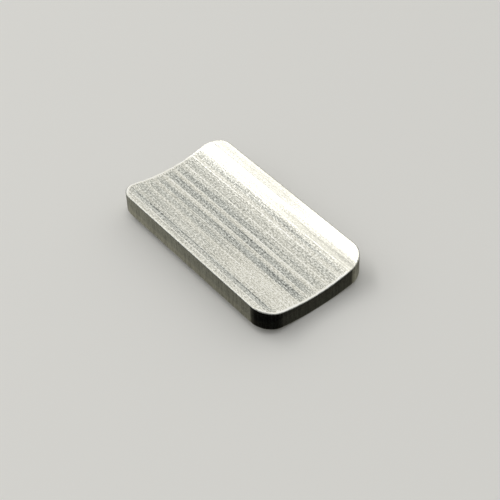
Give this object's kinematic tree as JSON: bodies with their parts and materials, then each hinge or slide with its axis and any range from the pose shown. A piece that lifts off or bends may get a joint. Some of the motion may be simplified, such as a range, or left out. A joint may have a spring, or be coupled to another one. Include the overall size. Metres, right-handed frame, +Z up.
{
  "type": "dished machined plate",
  "caption": "Small machined aluminium plate, a rounded rectangle with a shallow dished top that shows fine lengthwise cutter passes, a crowned underside and upright sides.",
  "frame": {"origin": "lowest line of the crowned underside, midway along it: the bottom centre of the bounding box", "axes": "+X across the plate, +Y along it, +Z up through the dish"},
  "size_m": [0.012, 0.022, 0.0029],
  "materials": {
    "aluminium": "bare, as milled: satin with fine lengthwise cutter marks on the dish, smooth side walls"
  },
  "bodies": {
    "root": {"dished_plate": "aluminium"}
  },
  "joints": []
}
